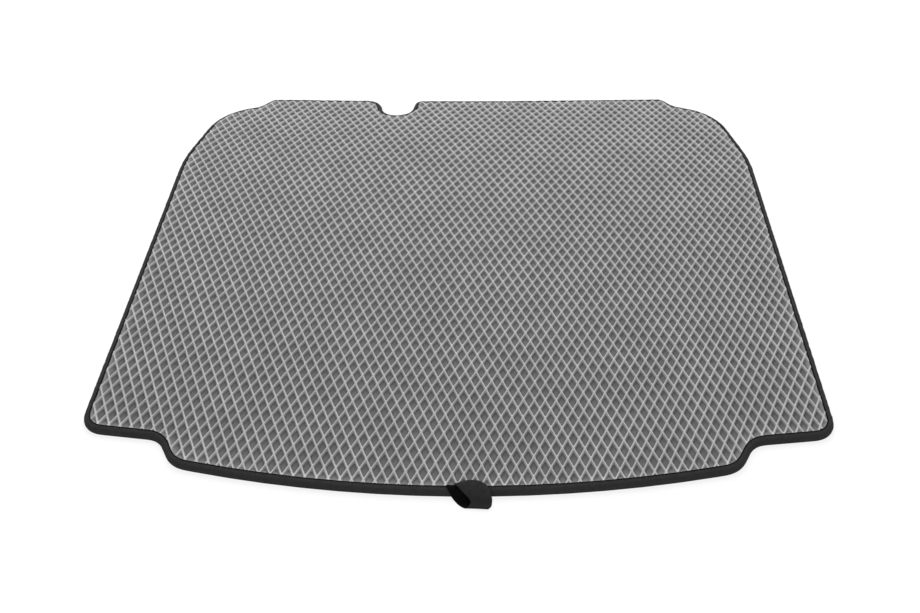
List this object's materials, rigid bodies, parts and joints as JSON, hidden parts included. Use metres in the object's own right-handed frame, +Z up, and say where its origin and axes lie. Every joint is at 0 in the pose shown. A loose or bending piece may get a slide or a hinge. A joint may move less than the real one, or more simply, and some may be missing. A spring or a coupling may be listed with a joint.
{
  "type": "car boot liner",
  "caption": "Foam boot liner with open diamond cells, a folded fabric edge, a notch and a pull loop; lies on the boot floor and catches dirt.",
  "frame": {"origin": "on the floor, under the middle of the liner and its pull loop together", "axes": "+Z up from the boot floor, +Y from the tailgate edge to the seat edge, +X across the car"},
  "size_m": [1, 0.9306, 0.0203],
  "materials": {
    "foam": "matt, fine foam grain",
    "tape": "matt woven tape",
    "loop": "matt woven tape"
  },
  "bodies": {
    "root": {"foam_sheet": "foam", "edge_tape": "tape", "pull_loop": "loop"}
  },
  "joints": []
}
